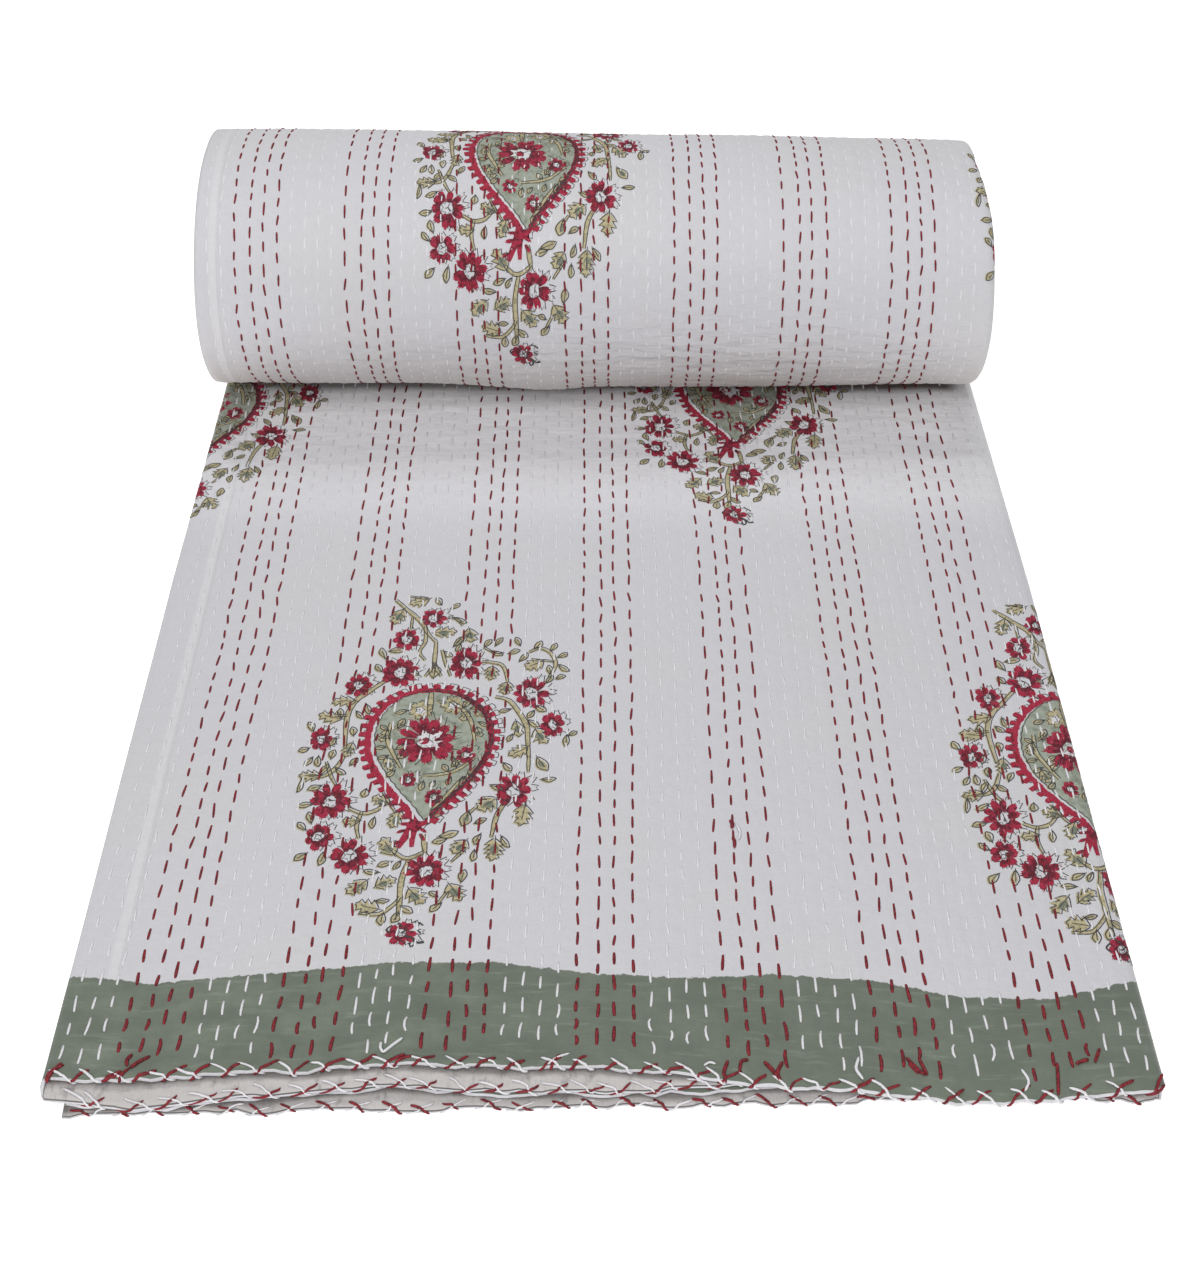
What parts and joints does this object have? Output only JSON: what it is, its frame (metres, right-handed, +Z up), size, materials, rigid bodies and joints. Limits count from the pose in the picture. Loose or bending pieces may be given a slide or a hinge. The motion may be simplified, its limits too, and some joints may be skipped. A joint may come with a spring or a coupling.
{
  "type": "kantha quilt",
  "caption": "Cotton kantha quilt folded lengthwise into a layered bundle, its far end rolled up into a bolster that rests on the flat part.",
  "frame": {"origin": "on the surface the quilt lies on, under the middle of its bounding box", "axes": "+Z up, +Y from the hem towards the rolled end, +X to the right as seen from the hem"},
  "size_m": [0.5738, 0.789, 0.1906],
  "materials": {
    "printed_cotton": "matt hand-quilted cotton, off-white with a sage hem band and block-printed flowers"
  },
  "bodies": {
    "root": {"quilt": "printed_cotton"}
  },
  "joints": []
}
